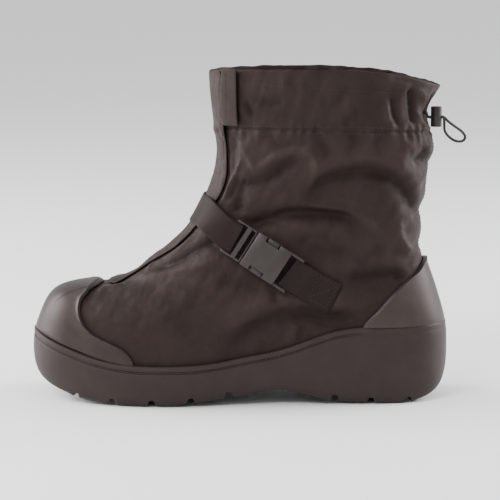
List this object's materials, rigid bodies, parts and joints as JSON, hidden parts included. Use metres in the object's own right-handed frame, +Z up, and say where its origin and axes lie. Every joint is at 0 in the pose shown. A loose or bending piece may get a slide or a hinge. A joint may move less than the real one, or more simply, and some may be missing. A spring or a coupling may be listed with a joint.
{
  "type": "winter overshoe",
  "caption": "Ankle-high fabric winter overshoe, left, with rubber cupsole, toe cap and heel counter, storm flap, buckled instep strap and drawcord cuff.",
  "frame": {"origin": "middle of the shoe's length and width, on the ground plane under the tread", "axes": "+X towards the heel, toe at -X, -Y the outer side with the buckle, +Z up"},
  "size_m": [0.348, 0.1242, 0.2626],
  "materials": {
    "sole_rubber": "semi-matte moulded rubber",
    "insole_board": "matte board with fabric face",
    "upper_fabric": "coated nylon weave, slight sheen",
    "cap_rubber": "semi-matte moulded rubber",
    "counter_rubber": "semi-matte moulded rubber",
    "flap_fabric": "coated nylon weave",
    "tab_fabric": "stitched nylon over hook-and-loop",
    "strap_webbing": "woven webbing, matte",
    "buckle_plastic": "moulded, fine matte",
    "cord_elastic": "braided elastic cord",
    "lock_plastic": "moulded, matte"
  },
  "bodies": {
    "root": {"outsole": "sole_rubber", "insole": "insole_board", "upper": "upper_fabric", "toe_cap": "cap_rubber", "heel_counter": "counter_rubber", "front_flap": "flap_fabric", "closure_tab": "tab_fabric", "instep_strap": "strap_webbing", "strap_keeper": "strap_webbing", "buckle_ladder": "buckle_plastic", "buckle_body": "buckle_plastic", "drawcord": "cord_elastic", "cord_lock": "lock_plastic"}
  },
  "joints": []
}
